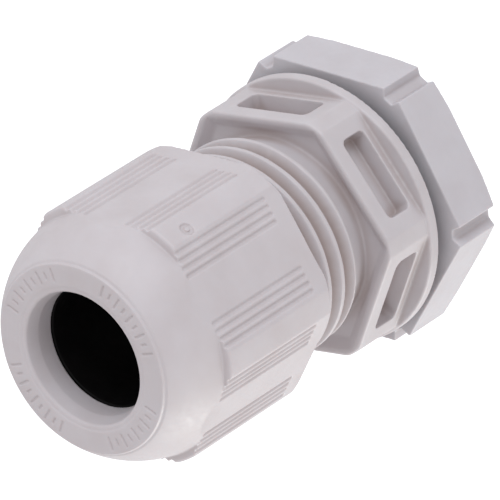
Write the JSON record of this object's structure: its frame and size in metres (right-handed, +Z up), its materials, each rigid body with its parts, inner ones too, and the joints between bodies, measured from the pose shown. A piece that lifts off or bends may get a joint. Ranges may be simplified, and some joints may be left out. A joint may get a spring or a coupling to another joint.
{
  "type": "cable gland",
  "caption": "Plastic cable gland: a domed hexagonal cap nut squeezes a rubber seal round a cable, and a threaded stud with a hexagonal locknut holds it in a wall.",
  "frame": {"origin": "on the axis, in the plane of the flange's seat, where the gland meets the wall it goes through", "axes": "+Y along the axis, from the cap's mouth to the end of the entry thread; +Z up with the gland lying on its side; +X to the right seen from the mouth"},
  "size_m": [0.0238, 0.0372, 0.022],
  "materials": {
    "body_plastic": "light grey moulded polyamide, fine matte skin",
    "cap_plastic": "light grey moulded polyamide, fine matte skin",
    "nut_plastic": "light grey moulded polyamide, fine matte skin",
    "seal_rubber": "black soft rubber",
    "gasket_rubber": "black flat sealing washer"
  },
  "bodies": {
    "gland_body": {"gland_body": "body_plastic"},
    "finger_01": {"clamping_finger_01": "body_plastic"},
    "finger_02": {"clamping_finger_02": "body_plastic"},
    "finger_03": {"clamping_finger_03": "body_plastic"},
    "finger_04": {"clamping_finger_04": "body_plastic"},
    "finger_05": {"clamping_finger_05": "body_plastic"},
    "finger_06": {"clamping_finger_06": "body_plastic"},
    "finger_07": {"clamping_finger_07": "body_plastic"},
    "finger_08": {"clamping_finger_08": "body_plastic"},
    "finger_09": {"clamping_finger_09": "body_plastic"},
    "finger_10": {"clamping_finger_10": "body_plastic"},
    "finger_11": {"clamping_finger_11": "body_plastic"},
    "finger_12": {"clamping_finger_12": "body_plastic"},
    "finger_13": {"clamping_finger_13": "body_plastic"},
    "finger_14": {"clamping_finger_14": "body_plastic"},
    "sealing_insert": {"sealing_insert": "seal_rubber"},
    "cap_nut": {"cap_nut": "cap_plastic"},
    "flange_gasket": {"flange_gasket": "gasket_rubber"},
    "locknut": {"locknut": "nut_plastic"}
  },
  "joints": [
    {"name": "cap_travel", "type": "slide", "parent": "gland_body", "child": "sealing_insert", "axis": [0, 1, 0], "range_m": [-0.0016, 0.0048], "deforming": ["sealing_insert"]},
    {"name": "cap_turn", "type": "hinge", "parent": "sealing_insert", "child": "cap_nut", "pos_m": [0, -0.02, 0], "axis": [0, 1, 0], "range_deg": [-360, 1080]},
    {"name": "nut_turn", "type": "hinge", "parent": "gland_body", "child": "flange_gasket", "pos_m": [0, 0.003, 0], "axis": [0, -1, 0], "range_deg": [-1440, 120]},
    {"name": "nut_travel", "type": "slide", "parent": "flange_gasket", "child": "locknut", "axis": [0, -1, 0], "range_m": [-0.006, 0.0005]},
    {"name": "finger_01_bend", "type": "hinge", "parent": "gland_body", "child": "finger_01", "pos_m": [0, -0.01576, 0.00625], "axis": [1, 0, 0], "range_deg": [-2.8, 8.4]},
    {"name": "finger_02_bend", "type": "hinge", "parent": "gland_body", "child": "finger_02", "pos_m": [0.00271, -0.01576, 0.00563], "axis": [0.901, 0, -0.4339], "range_deg": [-2.8, 8.4]},
    {"name": "finger_03_bend", "type": "hinge", "parent": "gland_body", "child": "finger_03", "pos_m": [0.00489, -0.01576, 0.0039], "axis": [0.6235, 0, -0.7818], "range_deg": [-2.8, 8.4]},
    {"name": "finger_04_bend", "type": "hinge", "parent": "gland_body", "child": "finger_04", "pos_m": [0.00609, -0.01576, 0.00139], "axis": [0.2225, 0, -0.9749], "range_deg": [-2.8, 8.4]},
    {"name": "finger_05_bend", "type": "hinge", "parent": "gland_body", "child": "finger_05", "pos_m": [0.00609, -0.01576, -0.00139], "axis": [-0.2225, 0, -0.9749], "range_deg": [-2.8, 8.4]},
    {"name": "finger_06_bend", "type": "hinge", "parent": "gland_body", "child": "finger_06", "pos_m": [0.00489, -0.01576, -0.0039], "axis": [-0.6235, 0, -0.7818], "range_deg": [-2.8, 8.4]},
    {"name": "finger_07_bend", "type": "hinge", "parent": "gland_body", "child": "finger_07", "pos_m": [0.00271, -0.01576, -0.00563], "axis": [-0.901, 0, -0.4339], "range_deg": [-2.8, 8.4]},
    {"name": "finger_08_bend", "type": "hinge", "parent": "gland_body", "child": "finger_08", "pos_m": [0, -0.01576, -0.00625], "axis": [-1, 0, 0], "range_deg": [-2.8, 8.4]},
    {"name": "finger_09_bend", "type": "hinge", "parent": "gland_body", "child": "finger_09", "pos_m": [-0.00271, -0.01576, -0.00563], "axis": [-0.901, 0, 0.4339], "range_deg": [-2.8, 8.4]},
    {"name": "finger_10_bend", "type": "hinge", "parent": "gland_body", "child": "finger_10", "pos_m": [-0.00489, -0.01576, -0.0039], "axis": [-0.6235, 0, 0.7818], "range_deg": [-2.8, 8.4]},
    {"name": "finger_11_bend", "type": "hinge", "parent": "gland_body", "child": "finger_11", "pos_m": [-0.00609, -0.01576, -0.00139], "axis": [-0.2225, 0, 0.9749], "range_deg": [-2.8, 8.4]},
    {"name": "finger_12_bend", "type": "hinge", "parent": "gland_body", "child": "finger_12", "pos_m": [-0.00609, -0.01576, 0.00139], "axis": [0.2225, 0, 0.9749], "range_deg": [-2.8, 8.4]},
    {"name": "finger_13_bend", "type": "hinge", "parent": "gland_body", "child": "finger_13", "pos_m": [-0.00489, -0.01576, 0.0039], "axis": [0.6235, 0, 0.7818], "range_deg": [-2.8, 8.4]},
    {"name": "finger_14_bend", "type": "hinge", "parent": "gland_body", "child": "finger_14", "pos_m": [-0.00271, -0.01576, 0.00563], "axis": [0.901, 0, 0.4339], "range_deg": [-2.8, 8.4]}
  ],
  "couplings": [
    {"joint": "cap_travel", "follows": "cap_turn", "m_per_rad": 0.00025464},
    {"joint": "nut_travel", "follows": "nut_turn", "m_per_rad": 0.00023873},
    {"joint": "finger_01_bend", "follows": "cap_turn", "ratio": 0.0077777},
    {"joint": "finger_02_bend", "follows": "cap_turn", "ratio": 0.0077777},
    {"joint": "finger_03_bend", "follows": "cap_turn", "ratio": 0.0077777},
    {"joint": "finger_04_bend", "follows": "cap_turn", "ratio": 0.0077777},
    {"joint": "finger_05_bend", "follows": "cap_turn", "ratio": 0.0077777},
    {"joint": "finger_06_bend", "follows": "cap_turn", "ratio": 0.0077777},
    {"joint": "finger_07_bend", "follows": "cap_turn", "ratio": 0.0077777},
    {"joint": "finger_08_bend", "follows": "cap_turn", "ratio": 0.0077777},
    {"joint": "finger_09_bend", "follows": "cap_turn", "ratio": 0.0077777},
    {"joint": "finger_10_bend", "follows": "cap_turn", "ratio": 0.0077777},
    {"joint": "finger_11_bend", "follows": "cap_turn", "ratio": 0.0077777},
    {"joint": "finger_12_bend", "follows": "cap_turn", "ratio": 0.0077777},
    {"joint": "finger_13_bend", "follows": "cap_turn", "ratio": 0.0077777},
    {"joint": "finger_14_bend", "follows": "cap_turn", "ratio": 0.0077777}
  ]
}
